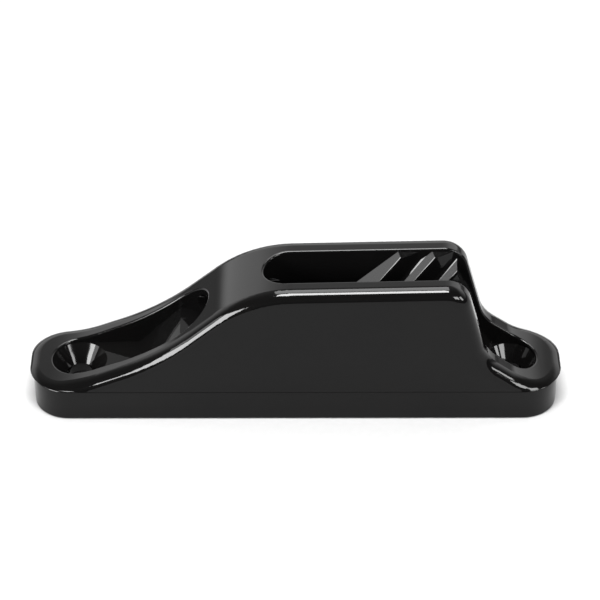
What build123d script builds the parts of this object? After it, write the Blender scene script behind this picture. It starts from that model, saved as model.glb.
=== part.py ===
from build123d import *
import math
import os

# Fixed jaw cleat for small cord, with a fairlead bridge built in.
# Two nylon mouldings: a jaw body, and the base tray that it nests in.
# Millimetres. X runs along the cleat, from the loaded end (-X) to the free,
# toothed end (+X). Y runs across it. Z is up, with 0 on the underside.

# ---- driving dimensions ----------------------------------------------------
# overall
LENGTH = 83.4             # jaw body, end to end, at the seam, before rounding
WIDTH = 15.5              # jaw body, side to side, at the seam
HEIGHT = 24.3             # top of the crown above the underside
SEAM_Z = 5.5              # plane where the jaw body lands on the base tray
CORNER_R = 6.2            # plan radius of the jaw body's four corners
WALL_DRAFT = 1.2          # degrees, side walls lean in going up
EDGE_R = 2.0              # rounding round the outer top edge

# screw pads and holes
PAD_RISE = 0.6            # top of the two end pads, above the seam
FLOOR_DROP = 0.35         # flat floor round each screw, below the pad's top
HOLE_INSET = 8.2          # hole centre to the end of the jaw body
HOLE_R = 2.25             # clearance hole for a 4 mm screw
CSK_R = 4.2               # countersink mouth radius, in the pocket
CSK_TRIM = 0.3            # the other mouth is this much smaller, inside the channel
CSK_DEPTH = 2.6           # countersink cone depth

# side profile, each corner point given from an end and from the underside
RISE_FROM_LEFT = 7.5      # pad turns up
RISE_R = 20.0
KNEE_FROM_LEFT = 20.5     # gentle rise turns into the steeper rise
KNEE_Z = 11.35
KNEE_R = 40.0
CROWN_FROM_LEFT = 34.5    # steeper rise turns into the crown
CROWN_DROP = 0.75         # crown is lower here than at the nose
CROWN_R = 19.0
NOSE_FROM_RIGHT = 16.1    # crown turns down the end flank
NOSE_R = 4.0
FOOT_FROM_RIGHT = 12.4    # end flank turns out to the pad
FOOT_Z = 10.8
FOOT_R = 6.5
TAIL_FROM_RIGHT = 5.9     # foot slope meets the pad
TAIL_R = 10.0

# lead-in pocket, ramp and fairlead tunnel
POCKET_WALL = 2.7         # cheek thickness beside the pocket at the crown
POCKET_END_FROM_LEFT = 28.4
RAMP_FROM_LEFT = 17.3     # foot of the ramp
RAMP_ANGLE = 45.0         # degrees
TUNNEL_FLOOR_Z = 12.4
TUNNEL_WALL = 3.7         # cheek thickness beside the tunnel
BRIDGE_THICK = 1.7        # bridge over the tunnel, at the pocket
BRIDGE_SWELL = 2.2        # and how much thicker it is at the channel
TUNNEL_R = 2.0            # rounding of the tunnel's long edges

# jaw channel
JAW_WALL = 3.5            # cheek thickness beside the channel at the crown
BRIDGE_LENGTH = 8.5       # pocket end to channel end, along the top
JAW_FLOOR_Z = 11.0        # bottom of the channel
JAW_LEAN = 12.0           # degrees, the teeth's crests close in going down
LEAD_IN = 0.9             # how far the crests stand out of the cheek, at their top
LEAD_IN_DROP = 1.3        # and how far below the crown that is
TOOTH_FADE = 0.6          # teeth start this far below the crown, at the cheek
LIP_R = 0.3               # rounding of the pocket's and channel's top edges
JAW_SETBACK = 0.9         # teeth stop this far inside the end flank
EXIT_START = -2.0         # channel floor starts to drop, from the flank's foot
EXIT_RAMP_LENGTH = 3.5    # and reaches the pad floor over this length

# teeth: slanted saw teeth on both jaw faces
TOOTH_PITCH = 5.25        # along X
TOOTH_SLANT = 52.0        # degrees, crests climb towards +X
TOOTH_FACE = 40.0         # degrees between a tooth's front and the jaw face
TOOTH_DEPTH = 1.2         # crest to root, square to the jaw face
TOOTH_FIRST_FROM_NOSE = 9.5    # top of the first crest, before the nose
TOOTH_COUNT = 5
TOOTH_BITE = 0.4          # how far the teeth run into the cheek behind them
CREST_R = 0.45            # rounding of the crests
ROOT_R = 0.7              # and of the roots between them

# base tray
TRAY_END_STEP = 1.05      # tray is this far inside the jaw body at the ends
TRAY_SIDE_STEP = 0.12     # and at the sides
TRAY_WALL = 1.6
TRAY_FLOOR = 1.5
TRAY_DRAFT = 0.7          # degrees, walls lean in going down
TRAY_TOP_R = 0.3          # rounding of the tray's top outer edge
TRAY_FOOT_R = 0.3         # rounding of the underside edge
NEST_GAP = 0.12           # clearance between tray and the body's tongue

# ---- derived ---------------------------------------------------------------
PAD_Z = SEAM_Z + PAD_RISE
LEFT = -LENGTH / 2
RIGHT = LENGTH / 2
HOLE_LEFT = LEFT + HOLE_INSET
HOLE_RIGHT = RIGHT - HOLE_INSET
SKIRT = EDGE_R + 0.5      # how far the blank runs below the seam, cut off later
CROWN_HALF = WIDTH / 2 - (HEIGHT - SEAM_Z) * math.tan(math.radians(WALL_DRAFT))
JAW_HALF = CROWN_HALF - JAW_WALL
POCKET_HALF = CROWN_HALF - POCKET_WALL
POCKET_END = LEFT + POCKET_END_FROM_LEFT
JAW_START = POCKET_END + BRIDGE_LENGTH
NOSE_X = RIGHT - NOSE_FROM_RIGHT
FLOOR_Z = PAD_Z - FLOOR_DROP


def profile_points():
    """Corner points of the side profile, left to right, and their radii."""
    points = [
        (LEFT - 10, PAD_Z),
        (LEFT + RISE_FROM_LEFT, PAD_Z),
        (LEFT + KNEE_FROM_LEFT, KNEE_Z),
        (LEFT + CROWN_FROM_LEFT, HEIGHT - CROWN_DROP),
        (NOSE_X, HEIGHT),
        (RIGHT - FOOT_FROM_RIGHT, FOOT_Z),
        (RIGHT - TAIL_FROM_RIGHT, PAD_Z),
        (RIGHT + 10, PAD_Z),
    ]
    radii = [RISE_R, KNEE_R, CROWN_R, NOSE_R, FOOT_R, TAIL_R]
    return points, radii


def fitted_radii(points, radii):
    """Limit each blend so that it uses under half of the shorter run."""
    fitted = []
    for i, radius in enumerate(radii):
        a = Vector(*points[i])
        b = Vector(*points[i + 1])
        c = Vector(*points[i + 2])
        turn = (b - a).get_angle(c - b)
        room = 0.48 * min((b - a).length, (c - b).length)
        fitted.append(min(radius, room / math.tan(math.radians(turn / 2))))
    return fitted


def profile_height(x):
    """Height of the unrounded side profile at x."""
    points, _ = profile_points()
    for (x0, z0), (x1, z1) in zip(points, points[1:]):
        if x0 <= x <= x1:
            return z0 + (z1 - z0) * (x - x0) / (x1 - x0)
    return PAD_Z


def xz_prism(points, half_width):
    """Prism of an X, Z polygon, from -half_width to +half_width in Y."""
    line = Polyline(*[(x, z) for x, z in points], close=True)
    face = Plane.XZ * make_face(line)
    return extrude(face, amount=half_width, both=True)


def slot_plan(x0, x1, radius0, radius1, z):
    """Plan shape of a slot with round ends, x0 and x1 being its two tips."""
    c0 = x0 + radius0
    c1 = x1 - radius1
    shape = make_hull((Pos(c0, 0) * Circle(radius0) + Pos(c1, 0) * Circle(radius1)).edges())
    return Pos(0, 0, z) * shape


def body_blank():
    """Jaw body's outer shape: drafted plan, side profile and top rounding."""
    grow = SKIRT * math.tan(math.radians(WALL_DRAFT))
    plan = RectangleRounded(LENGTH + 2 * grow, WIDTH + 2 * grow, CORNER_R + grow)
    walls = extrude(Pos(0, 0, SEAM_Z - SKIRT) * plan, amount=HEIGHT + 5, taper=WALL_DRAFT)
    points, radii = profile_points()
    top = FilletPolyline(*points, radius=fitted_radii(points, radii))
    low = SEAM_Z - SKIRT - 1
    first = points[0]
    last = points[-1]
    rest = Polyline(last, (last[0], low), (first[0], low), first)
    side = extrude(Plane.XZ * make_face(Curve() + [top, rest]), amount=WIDTH, both=True)
    blank = walls & side
    rim = []
    for edge in blank.edges():
        box = edge.bounding_box()
        crossing = box.min.Y < -1 and box.max.Y > 1 and abs(edge.center().X) < RIGHT - 2
        if box.min.Z > PAD_Z - 0.3 and not crossing:
            rim.append(edge)
    return fillet(rim, EDGE_R)


def shared_edges(body, outer, tool):
    """Edges of body that lie both on the outer shape and on the tool."""
    found = []
    for edge in body.edges():
        spot = Vertex(*edge.position_at(0.5))
        on_outer = outer.shells()[0].distance_to(spot) < 0.001
        on_tool = tool.shells()[0].distance_to(spot) < 0.001
        if on_outer and on_tool:
            found.append(edge)
    return found


def pocket_cut():
    """Lead-in pocket: screw recess, flat floor, ramp, open to the top."""
    plan = slot_plan(HOLE_LEFT - CSK_R, POCKET_END, CSK_R, POCKET_HALF, FLOOR_Z)
    tall = extrude(plan, amount=HEIGHT)
    return tall - ramp_block()


def ramp_block():
    """Solid kept under the ramp and under the tunnel floor."""
    foot = LEFT + RAMP_FROM_LEFT
    rise = TUNNEL_FLOOR_Z - FLOOR_Z
    run = rise / math.tan(math.radians(RAMP_ANGLE))
    points = [
        (foot, FLOOR_Z),
        (foot + run, TUNNEL_FLOOR_Z),
        (JAW_START + JAW_HALF, JAW_FLOOR_Z),
        (JAW_START + JAW_HALF, FLOOR_Z - 2),
        (foot - 0.001, FLOOR_Z - 2),
    ]
    return xz_prism(points, WIDTH)


def tunnel_cut():
    """Fairlead tunnel under the bridge, from the pocket to the channel."""
    half = CROWN_HALF - TUNNEL_WALL
    start = POCKET_END - POCKET_HALF
    end = JAW_START + JAW_HALF
    roof0 = profile_height(POCKET_END) - BRIDGE_THICK
    roof1 = profile_height(JAW_START) - BRIDGE_THICK - BRIDGE_SWELL
    points = [
        (start, TUNNEL_FLOOR_Z),
        (end, JAW_FLOOR_Z),
        (end, roof1),
        (JAW_START, roof1),
        (POCKET_END, roof0),
        (start, roof0),
    ]
    block = xz_prism(points, half)
    long_edges = [e for e in block.edges() if abs(abs(e.center().Y) - half) < 0.01]
    long_edges = [e for e in long_edges if e.bounding_box().max.X - e.bounding_box().min.X > 1]
    radius = min(TUNNEL_R, 0.45 * (roof0 - TUNNEL_FLOOR_Z), 0.8 * half)
    return fillet(long_edges, radius)


def channel_cut():
    """Jaw channel with plain walls: round at the bridge end, round the screw."""
    tip = HOLE_RIGHT + JAW_HALF
    plan = slot_plan(JAW_START, tip, JAW_HALF, JAW_HALF, FLOOR_Z)
    tall = extrude(plan, amount=HEIGHT)
    foot = RIGHT - FOOT_FROM_RIGHT
    points = [
        (JAW_START - 1, FLOOR_Z - 1),
        (JAW_START - 1, JAW_FLOOR_Z),
        (foot + EXIT_START, JAW_FLOOR_Z),
        (foot + EXIT_START + EXIT_RAMP_LENGTH, FLOOR_Z),
        (foot + EXIT_START + EXIT_RAMP_LENGTH, FLOOR_Z - 1),
    ]
    return tall - xz_prism(points, WIDTH)


def crest_half(z):
    """Half width of the channel between the teeth's crests at height z."""
    drop = HEIGHT - LEAD_IN_DROP - z
    return JAW_HALF - LEAD_IN - drop * math.tan(math.radians(JAW_LEAN))


def jaw_faces():
    """Both jaw faces: wedges that narrow the channel, cut into saw teeth."""
    outer = JAW_HALF + TOOTH_BITE
    crest_top = HEIGHT - LEAD_IN_DROP
    low = JAW_FLOOR_Z - 1
    section = Polyline(
        (crest_half(low), low),
        (outer, low),
        (outer, HEIGHT - TOOTH_FADE),
        (JAW_HALF, HEIGHT - TOOTH_FADE),
        (JAW_HALF - LEAD_IN, crest_top),
        close=True,
    )
    start = JAW_START + 0.3
    plane = Plane(origin=(start, 0, 0), x_dir=(0, 1, 0), z_dir=(1, 0, 0))
    wedge = extrude(plane * make_face(section), amount=RIGHT - start)
    foot = RIGHT - FOOT_FROM_RIGHT
    limit = [
        (start - 1, low - 1),
        (start - 1, HEIGHT + 9),
        (NOSE_X - JAW_SETBACK, HEIGHT + 9),
        (NOSE_X - JAW_SETBACK, HEIGHT - NOSE_R),
        (foot - JAW_SETBACK, FOOT_Z + 1),
        (foot - JAW_SETBACK, low - 1),
    ]
    wedge = wedge & xz_prism(limit, WIDTH)
    along, cuts = tooth_cuts()
    for cut in cuts:
        wedge = wedge - cut
    crests = []
    for edge in wedge.edges():
        middle = edge.center()
        parallel = abs(edge.tangent_at(0.5).dot(Vector(*along))) > 0.999
        if parallel and abs(middle.Y - crest_half(middle.Z)) < 0.01:
            crests.append(edge)
    wedge = fillet(crests, CREST_R)
    reach = slot_plan(JAW_START - TOOTH_BITE, RIGHT, outer, outer, low)
    wedge = wedge & extrude(reach, amount=HEIGHT)
    return wedge, mirror(wedge, Plane.XZ)


def tooth_cuts():
    """Direction of the crests, and the cuts across one jaw face that leave them.

    The first cut clears all of the face before the first tooth's front. Each
    later one runs back from a crest to the root, and up the next front.
    """
    slant = math.radians(TOOTH_SLANT)
    tilt = math.radians(JAW_LEAN)
    along = (math.cos(slant), math.sin(slant) * math.sin(tilt), math.sin(slant) * math.cos(tilt))
    down = (math.sin(slant), -math.cos(slant) * math.sin(tilt), -math.cos(slant) * math.cos(tilt))
    slope = math.tan(math.radians(TOOTH_FACE))
    pitch = TOOTH_PITCH * math.sin(slant)
    back = TOOTH_DEPTH / (pitch - TOOTH_DEPTH / slope)
    proud = 2.0               # the cuts start this far outside the jaw face
    deep = JAW_HALF
    cuts = []
    for k in range(TOOTH_COUNT):
        x = NOSE_X - TOOTH_FIRST_FROM_NOSE + k * TOOTH_PITCH
        origin = (x, JAW_HALF - LEAD_IN, HEIGHT - LEAD_IN_DROP)
        plane = Plane(origin=origin, x_dir=down, z_dir=along)
        if k == 0:
            outline = [
                (proud / slope, -proud),
                (-deep / slope, deep),
                (-2 * LENGTH, deep),
                (-2 * LENGTH, -proud),
            ]
        else:
            outline = [
                (proud / slope, -proud),
                (-TOOTH_DEPTH / slope, TOOTH_DEPTH),
                (-pitch - proud / back, -proud),
            ]
        section = make_face(Polyline(*outline, close=True))
        if k > 0:
            root = section.vertices().sort_by(Axis.Y)[-1]
            section = fillet(root, ROOT_R)
        cuts.append(extrude(plane * section, amount=2 * HEIGHT, both=True))
    return along, cuts


def screw_cuts(top_z):
    """Screw hole and countersink at both ends."""
    cuts = []
    for x, radius in ((HOLE_LEFT, CSK_R), (HOLE_RIGHT, CSK_R - CSK_TRIM)):
        cuts.append(Pos(x, 0, top_z / 2) * Cylinder(HOLE_R, 2 * top_z))
        cone = Cone(HOLE_R, radius, CSK_DEPTH)
        cuts.append(Pos(x, 0, top_z - CSK_DEPTH / 2) * cone)
    return cuts


def tray_plan(inset_end, inset_side, z):
    """Rounded rectangle inside the jaw body's outline by the two insets."""
    radius = CORNER_R - (inset_end + inset_side) / 2
    plan = RectangleRounded(LENGTH - 2 * inset_end, WIDTH - 2 * inset_side, max(radius, 0.5))
    return Pos(0, 0, z) * plan


def make_jaw_body():
    """Upper moulding: cheeks, bridge, ramp, toothed channel and pads."""
    blank = body_blank()
    body = blank - Pos(0, 0, SEAM_Z - 10) * Box(2 * LENGTH, 4 * WIDTH, 20)
    tongue_end = TRAY_END_STEP + TRAY_WALL + NEST_GAP
    tongue_side = TRAY_SIDE_STEP + TRAY_WALL + NEST_GAP
    tongue_low = TRAY_FLOOR + NEST_GAP
    tongue = extrude(tray_plan(tongue_end, tongue_side, tongue_low), amount=SEAM_Z - tongue_low)
    body = body + tongue
    pocket = pocket_cut()
    body = body - pocket
    body = fillet(shared_edges(body, blank, pocket), LIP_R)
    channel = channel_cut()
    body = body - channel
    body = fillet(shared_edges(body, blank, channel), LIP_R)
    for face in jaw_faces():
        body = body + face
    body = body - tunnel_cut()
    for cut in screw_cuts(FLOOR_Z):
        body = body - cut
    return body


def make_base_tray():
    """Lower moulding: the plinth tray that lands on the deck."""
    top = tray_plan(TRAY_END_STEP, TRAY_SIDE_STEP, SEAM_Z)
    tray = extrude(top, amount=-SEAM_Z, taper=TRAY_DRAFT)
    tray = fillet(tray.faces().sort_by(Axis.Z)[-1].outer_wire().edges(), TRAY_TOP_R)
    tray = fillet(tray.faces().sort_by(Axis.Z)[0].outer_wire().edges(), TRAY_FOOT_R)
    inset_end = TRAY_END_STEP + TRAY_WALL
    inset_side = TRAY_SIDE_STEP + TRAY_WALL
    tray = tray - extrude(tray_plan(inset_end, inset_side, TRAY_FLOOR), amount=SEAM_Z)
    for x in (HOLE_LEFT, HOLE_RIGHT):
        tray = tray - Pos(x, 0, 0) * Cylinder(HOLE_R, 4 * TRAY_FLOOR)
    return tray


def main():
    """Build both mouldings and write them out."""
    os.makedirs("parts", exist_ok=True)
    export_step(make_jaw_body(), "parts/jaw_body.step")
    export_step(make_base_tray(), "parts/base_tray.step")


if __name__ == "__main__":
    main()
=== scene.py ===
"""Studio scene of a fixed jaw cleat: a black nylon jaw body on its base tray."""

import logging
import math
from dataclasses import dataclass, field
from enum import Enum

import bpy
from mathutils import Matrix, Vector

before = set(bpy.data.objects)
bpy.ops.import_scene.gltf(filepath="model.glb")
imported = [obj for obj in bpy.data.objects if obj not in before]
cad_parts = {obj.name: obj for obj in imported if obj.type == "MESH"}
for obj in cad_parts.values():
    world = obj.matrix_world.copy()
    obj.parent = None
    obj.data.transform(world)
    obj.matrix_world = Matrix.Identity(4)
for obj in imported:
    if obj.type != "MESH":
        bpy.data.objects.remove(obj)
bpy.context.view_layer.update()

log = logging.getLogger("jaw_cleat")

WHITE = (1, 1, 1, 1)


class Sheen(Enum):
    """How polished a moulding's tool was, as surface roughness."""

    POLISHED = 0.06
    SATIN = 0.13


class Wire:
    """A shader socket that takes part in Python arithmetic."""

    def __init__(self, graph: "Graph", socket: bpy.types.NodeSocket | None) -> None:
        """Wrap one output socket of a graph.

        Args:
            graph: The graph that new Math nodes go into.
            socket: The output socket to wrap, or None after an output node.
        """
        self.graph = graph
        self.socket = socket

    def _math(self, operation: str, left: object, right: object) -> "Wire":
        """Return the output of a Math node.

        Args:
            operation: The node's operation.
            left: First input, a wire or a number.
            right: Second input, a wire or a number.

        Returns:
            The node's value.
        """
        settings = {"operation": operation}
        return self.graph.node("ShaderNodeMath", settings, {0: left, 1: right})

    def __add__(self, other: object) -> "Wire":
        """Return self + other."""
        return self._math("ADD", self, other)

    def __radd__(self, other: object) -> "Wire":
        """Return other + self."""
        return self._math("ADD", other, self)

    def __sub__(self, other: object) -> "Wire":
        """Return self - other."""
        return self._math("SUBTRACT", self, other)

    def __rsub__(self, other: object) -> "Wire":
        """Return other - self."""
        return self._math("SUBTRACT", other, self)

    def __mul__(self, other: object) -> "Wire":
        """Return self * other."""
        return self._math("MULTIPLY", self, other)

    def __rmul__(self, other: object) -> "Wire":
        """Return other * self."""
        return self._math("MULTIPLY", other, self)


class Graph:
    """A node tree under construction."""

    def __init__(self, tree: bpy.types.NodeTree) -> None:
        """Empty a node tree and take it over.

        Args:
            tree: The material's or world's node tree.
        """
        self.tree = tree
        tree.nodes.clear()

    def node(self, kind: str, settings: dict | None = None, inputs: dict | None = None,
             output: int | str = 0) -> Wire:
        """Add a node, set it up, fill its sockets and return one output.

        Args:
            kind: Blender's name of the node's type.
            settings: Node attributes, set first.
            inputs: Socket name or index to a wire or a value.
            output: Which output the wire returned stands for.

        Returns:
            The chosen output, wrapped.
        """
        made = self.tree.nodes.new(kind)
        for name, value in (settings or {}).items():
            setattr(made, name, value)
        for name, value in (inputs or {}).items():
            if isinstance(value, Wire):
                self.tree.links.new(value.socket, made.inputs[name])
            else:
                made.inputs[name].default_value = value
        if not made.outputs:
            return Wire(self, None)
        return Wire(self, made.outputs[output])

    def mix(self, share: Wire, first: tuple, second: tuple) -> Wire:
        """Return a blend of two colours.

        Args:
            share: How much of the second colour shows.
            first: Colour where the share is 0.
            second: Colour where the share is 1.

        Returns:
            The blended colour.
        """
        settings = {"data_type": "RGBA"}
        return self.node("ShaderNodeMix", settings, {0: share, 6: first, 7: second}, output=2)


@dataclass(frozen=True)
class Grain:
    """A noise pattern.

    Attributes:
        scale: How many grains fit in a metre.
        detail: How many finer layers it has.
        harshness: How strong the finer layers are.
    """

    scale: float
    detail: float
    harshness: float = 0.5

    def lay(self, graph: Graph, where: Wire) -> Wire:
        """Return the pattern's value, from 0 to 1.

        Args:
            graph: The material's graph.
            where: Place on the piece, in metres.

        Returns:
            The pattern.
        """
        return graph.node("ShaderNodeTexNoise", {}, {
            "Vector": where, "Scale": self.scale,
            "Detail": self.detail, "Roughness": self.harshness})


@dataclass(frozen=True)
class Slope:
    """A smooth change of brightness across the tent.

    Attributes:
        start: Where the change starts, as a direction's coordinate.
        end: Where the change ends.
        low: Brightness up to the start.
        high: Brightness from the end on.
    """

    start: float
    end: float
    low: float
    high: float

    def lay(self, graph: Graph, along: Wire) -> Wire:
        """Return the brightness.

        Args:
            graph: The world's graph.
            along: The coordinate that the brightness changes with.

        Returns:
            The brightness.
        """
        return graph.node("ShaderNodeMapRange", {"interpolation_type": "SMOOTHSTEP"}, {
            "Value": along, "From Min": self.start, "From Max": self.end,
            "To Min": self.low, "To Max": self.high})


@dataclass(frozen=True)
class BlackNylon:
    """Glossy black moulded nylon.

    Attributes:
        name: The material's name.
        sheen: How polished the surface is.
        dark: Darkest tone of the resin.
        light: Lightest tone of the resin.
        cloud: Slow drift of the resin's tone and polish.
        ripple: Waviness of the moulded skin.
        speck: Fine texture of the moulded skin.
        cloud_polish: How far the drift changes the roughness.
        speck_polish: How far the fine texture changes the roughness.
        ripple_share: Share of the waviness in the skin's relief.
        speck_share: Share of the fine texture in the skin's relief.
        skin: Depth of the skin's relief, in metres.
        relief: Strength of the skin's relief.
        ior: Refractive index of nylon.
        specular: Strength of the plain reflection.
    """

    name: str
    sheen: Sheen
    dark: tuple = (0.0011, 0.0011, 0.0012, 1.0)
    light: tuple = (0.0020, 0.0019, 0.0018, 1.0)
    cloud: Grain = Grain(90.0, 3.0)
    ripple: Grain = Grain(420.0, 2.0, 0.45)
    speck: Grain = Grain(2600.0, 2.0, 0.6)
    cloud_polish: float = 0.03
    speck_polish: float = 0.02
    ripple_share: float = 0.8
    speck_share: float = 0.2
    skin: float = 0.00002
    relief: float = 0.12
    ior: float = 1.53
    specular: float = 0.16

    def build(self) -> bpy.types.Material:
        """Return the finished material."""
        material = bpy.data.materials.new(self.name)
        material.use_nodes = True
        graph = Graph(material.node_tree)
        where = graph.node("ShaderNodeTexCoord", output="Object")
        cloud = self.cloud.lay(graph, where)
        ripple = self.ripple.lay(graph, where)
        speck = self.speck.lay(graph, where)
        drift = (cloud - 0.5) * self.cloud_polish
        dust = (speck - 0.5) * self.speck_polish
        height = ripple * self.ripple_share + speck * self.speck_share
        bump = graph.node("ShaderNodeBump", {}, {
            "Height": height, "Strength": self.relief, "Distance": self.skin})
        shader = graph.node("ShaderNodeBsdfPrincipled", {}, {
            "Base Color": graph.mix(cloud, self.dark, self.light),
            "Roughness": self.sheen.value + drift + dust,
            "Normal": bump,
            "IOR": self.ior,
            "Specular IOR Level": self.specular})
        graph.node("ShaderNodeOutputMaterial", {}, {"Surface": shader})
        return material


@dataclass
class Moulding:
    """One nylon moulding, kept as its CAD solid and dressed.

    Attributes:
        node: The CAD node's name.
        finish: The nylon it is moulded in.
    """

    node: str
    finish: BlackNylon

    def dress(self) -> bpy.types.Object:
        """Give the CAD solid its finish and return it."""
        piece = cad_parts[self.node]
        piece.data.materials.clear()
        piece.data.materials.append(self.finish.build())
        return piece


@dataclass
class Jaws:
    """The whole cleat: the jaw body over the base tray.

    Attributes:
        body: The upper moulding, with the cheeks, bridge, ramp and teeth.
        tray: The lower moulding, which lands on the deck.
    """

    body: Moulding = field(default_factory=lambda: Moulding(
        "jaw_body", BlackNylon("polished_black_nylon", Sheen.POLISHED)))
    tray: Moulding = field(default_factory=lambda: Moulding(
        "base_tray", BlackNylon("satin_black_nylon", Sheen.SATIN)))

    def build(self) -> list[bpy.types.Object]:
        """Dress both mouldings and return them."""
        return [moulding.dress() for moulding in (self.body, self.tray)]


def soft_light(name: str, width: float, height: float, radiance: float) -> bpy.types.Object:
    """Make a rectangular soft light and return its object.

    Args:
        name: The light's name.
        width: Its width, in metres.
        height: Its height, in metres.
        radiance: How bright its face is.

    Returns:
        The light's object, at the origin.
    """
    lamp = bpy.data.lights.new(name, "AREA")
    lamp.shape = "RECTANGLE"
    lamp.size = width
    lamp.size_y = height
    lamp.energy = radiance * math.pi * width * height
    holder = bpy.data.objects.new(name, lamp)
    bpy.context.scene.collection.objects.link(holder)
    return holder


@dataclass
class Strip:
    """A long narrow soft light over the cleat, along its length.

    Attributes:
        name: The light's name.
        elevation: Height above the front horizon, in degrees, 90 overhead.
        spread: How wide it looks from the cleat, in degrees.
        radiance: How bright its face is.
        length: Its length along the cleat, in metres.
        distance: How far it hangs, in metres.
        centre: Height of the point that it is measured from, in metres.
    """

    name: str
    elevation: float
    spread: float
    radiance: float
    length: float = 0.36
    distance: float = 0.7
    centre: float = 0.015

    def hang(self) -> bpy.types.Object:
        """Make the light and return its object."""
        width = 2 * self.distance * math.tan(math.radians(self.spread / 2))
        holder = soft_light(self.name, self.length, width, self.radiance)
        lift = math.radians(self.elevation)
        toward = Vector((0, -math.cos(lift), math.sin(lift)))
        holder.location = toward * self.distance + Vector((0, 0, self.centre))
        holder.rotation_euler = (math.pi / 2 - lift, 0, 0)
        return holder


@dataclass
class Panel:
    """A soft panel standing low in front of the cleat, aimed at it.

    Attributes:
        name: The light's name.
        turn: Angle from straight in front, in degrees, positive to the right.
        elevation: Height above the horizon, in degrees.
        size: Width and height, in metres.
        radiance: How bright its face is.
        distance: How far it stands, in metres.
        centre: Height of the point that it is aimed at, in metres.
    """

    name: str
    turn: float
    elevation: float
    size: tuple
    radiance: float
    distance: float = 0.8
    centre: float = 0.012

    def stand(self) -> bpy.types.Object:
        """Make the light and return its object."""
        width, height = self.size
        holder = soft_light(self.name, width, height, self.radiance)
        lift = math.radians(self.elevation)
        turn = math.radians(self.turn)
        level = math.cos(lift)
        toward = Vector((math.sin(turn) * level, -math.cos(turn) * level, math.sin(lift)))
        holder.location = toward * self.distance + Vector((0, 0, self.centre))
        holder.rotation_euler = toward.to_track_quat("Z", "Y").to_euler()
        return holder


@dataclass
class Tent:
    """A white tent behind the cleat, dark in front, overhead and at the horizon.

    Attributes:
        back: Brightness from front to back.
        top: Brightness towards overhead.
        foot: Brightness up from the horizon.
        radiance: Brightness of the tent's brightest part.
    """

    back: Slope = Slope(-0.15, 0.65, 0.04, 1.0)
    top: Slope = Slope(0.47, 0.70, 1.0, 0.2)
    foot: Slope = Slope(0.09, 0.24, 0.14, 1.0)
    radiance: float = 2.5

    def hang(self) -> bpy.types.World:
        """Make the tent, put it round the scene and return it."""
        world = bpy.data.worlds.new("tent")
        world.use_nodes = True
        bpy.context.scene.world = world
        graph = Graph(world.node_tree)
        where = graph.node("ShaderNodeTexCoord", output="Generated")
        deep = graph.node("ShaderNodeSeparateXYZ", {}, {"Vector": where}, output="Y")
        high = graph.node("ShaderNodeSeparateXYZ", {}, {"Vector": where}, output="Z")
        back = self.back.lay(graph, deep)
        top = self.top.lay(graph, high)
        foot = self.foot.lay(graph, high)
        glow = graph.node("ShaderNodeBackground", {}, {
            "Color": WHITE, "Strength": back * top * foot * self.radiance})
        graph.node("ShaderNodeOutputWorld", {}, {"Surface": glow})
        return world


@dataclass
class PaleFloor:
    """The plain pale floor under the cleat.

    Attributes:
        reach: Half the floor's side, in metres.
        dark: Darkest tone.
        light: Lightest tone.
        grain: The floor's fine grain.
        roughness: The floor's roughness.
        specular: Strength of its plain reflection.
    """

    reach: float = 3.0
    dark: tuple = (0.230, 0.230, 0.230, 1)
    light: tuple = (0.246, 0.246, 0.246, 1)
    grain: Grain = Grain(900.0, 3.0)
    roughness: float = 0.85
    specular: float = 0.1

    def lay(self) -> bpy.types.Object:
        """Lay the floor and return it."""
        side = self.reach
        mesh = bpy.data.meshes.new("floor")
        corners = [(-side, -side, 0), (side, -side, 0), (side, side, 0), (-side, side, 0)]
        mesh.from_pydata(corners, [], [(0, 1, 2, 3)])
        mesh.materials.append(self._finish())
        plate = bpy.data.objects.new("floor", mesh)
        bpy.context.scene.collection.objects.link(plate)
        return plate

    def _finish(self) -> bpy.types.Material:
        """Return the floor's material."""
        material = bpy.data.materials.new("pale_floor")
        material.use_nodes = True
        graph = Graph(material.node_tree)
        where = graph.node("ShaderNodeTexCoord", output="Object")
        shader = graph.node("ShaderNodeBsdfPrincipled", {}, {
            "Base Color": graph.mix(self.grain.lay(graph, where), self.dark, self.light),
            "Roughness": self.roughness,
            "Specular IOR Level": self.specular})
        graph.node("ShaderNodeOutputMaterial", {}, {"Surface": shader})
        return material


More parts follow.
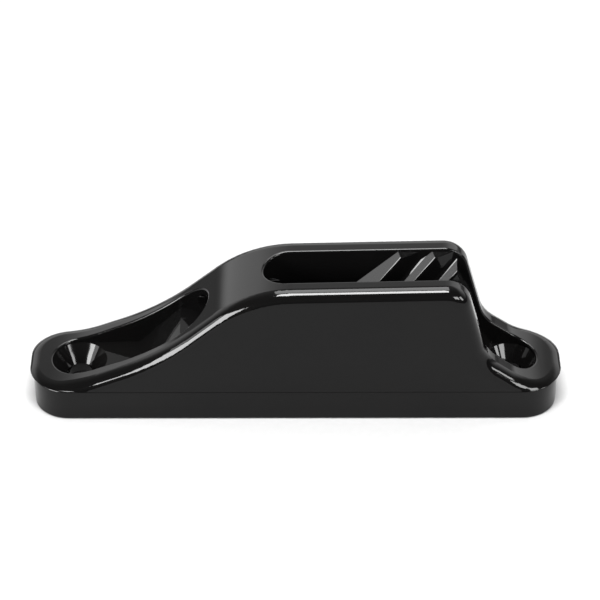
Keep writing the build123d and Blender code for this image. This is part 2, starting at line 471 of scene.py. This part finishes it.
@dataclass
class Lens:
    """The camera, in front of the cleat and above it.

    Attributes:
        distance: From the pivot to the lens, in metres.
        lift: Height above the horizon, in degrees.
        focal: Focal length, in millimetres.
        sensor: Width of the sensor, in millimetres.
        near: Nearest distance that shows, in metres.
        pivot: Point that the height and distance are taken from.
        aim: Point in the middle of the view.
    """

    distance: float = 0.400
    lift: float = 38.59
    focal: float = 155.17
    sensor: float = 36.0
    near: float = 0.01
    pivot: tuple = (0.0, 0.0, 0.010)
    aim: tuple = (0.00070, 0.00364, 0.01456)

    def mount(self) -> bpy.types.Object:
        """Make the camera, make it the scene's and return it."""
        lift = math.radians(self.lift)
        back = Vector((0, -math.cos(lift), math.sin(lift)))
        data = bpy.data.cameras.new("camera")
        data.lens = self.focal
        data.sensor_width = self.sensor
        data.clip_start = self.near
        holder = bpy.data.objects.new("camera", data)
        holder.location = Vector(self.pivot) + back * self.distance
        look = Vector(self.aim) - holder.location
        holder.rotation_euler = look.to_track_quat("-Z", "Y").to_euler()
        bpy.context.scene.collection.objects.link(holder)
        bpy.context.scene.camera = holder
        return holder


@dataclass
class Studio:
    """Pale floor, white tent, soft lights and camera.

    Attributes:
        floor: The floor.
        tent: The tent behind the cleat.
        strips: The lights overhead, which draw the lines along its top edges.
        panels: The lights low on both sides.
        lens: The camera.
    """

    floor: PaleFloor = field(default_factory=PaleFloor)
    tent: Tent = field(default_factory=Tent)
    strips: list = field(default_factory=lambda: [
        Strip("key_strip", 79.0, 17.0, 58.0),
        Strip("top_strip", 108.0, 30.0, 12.0),
    ])
    panels: list = field(default_factory=lambda: [
        Panel("left_panel", -48.5, 18.5, (0.38, 0.31), 40.0),
        Panel("left_fill", -71.5, 20.0, (0.20, 0.26), 7.5),
        Panel("right_panel", 42.0, 25.0, (0.28, 0.22), 26.0),
        Panel("right_fill", 67.0, 20.0, (0.16, 0.22), 24.0),
    ])
    lens: Lens = field(default_factory=Lens)

    def build(self) -> None:
        """Set up the whole studio."""
        self.floor.lay()
        self.tent.hang()
        for strip in self.strips:
            strip.hang()
        for panel in self.panels:
            panel.stand()
        self.lens.mount()
        bpy.context.scene.view_settings.view_transform = "Standard"


def main() -> None:
    """Build the studio and dress the cleat's two mouldings."""
    logging.basicConfig(level=logging.INFO, format="%(name)s: %(message)s")
    Studio().build()
    log.info("studio ready")
    for piece in Jaws().build():
        log.info("%s dressed, %d faces", piece.name, len(piece.data.polygons))


if __name__ == "__main__":
    main()
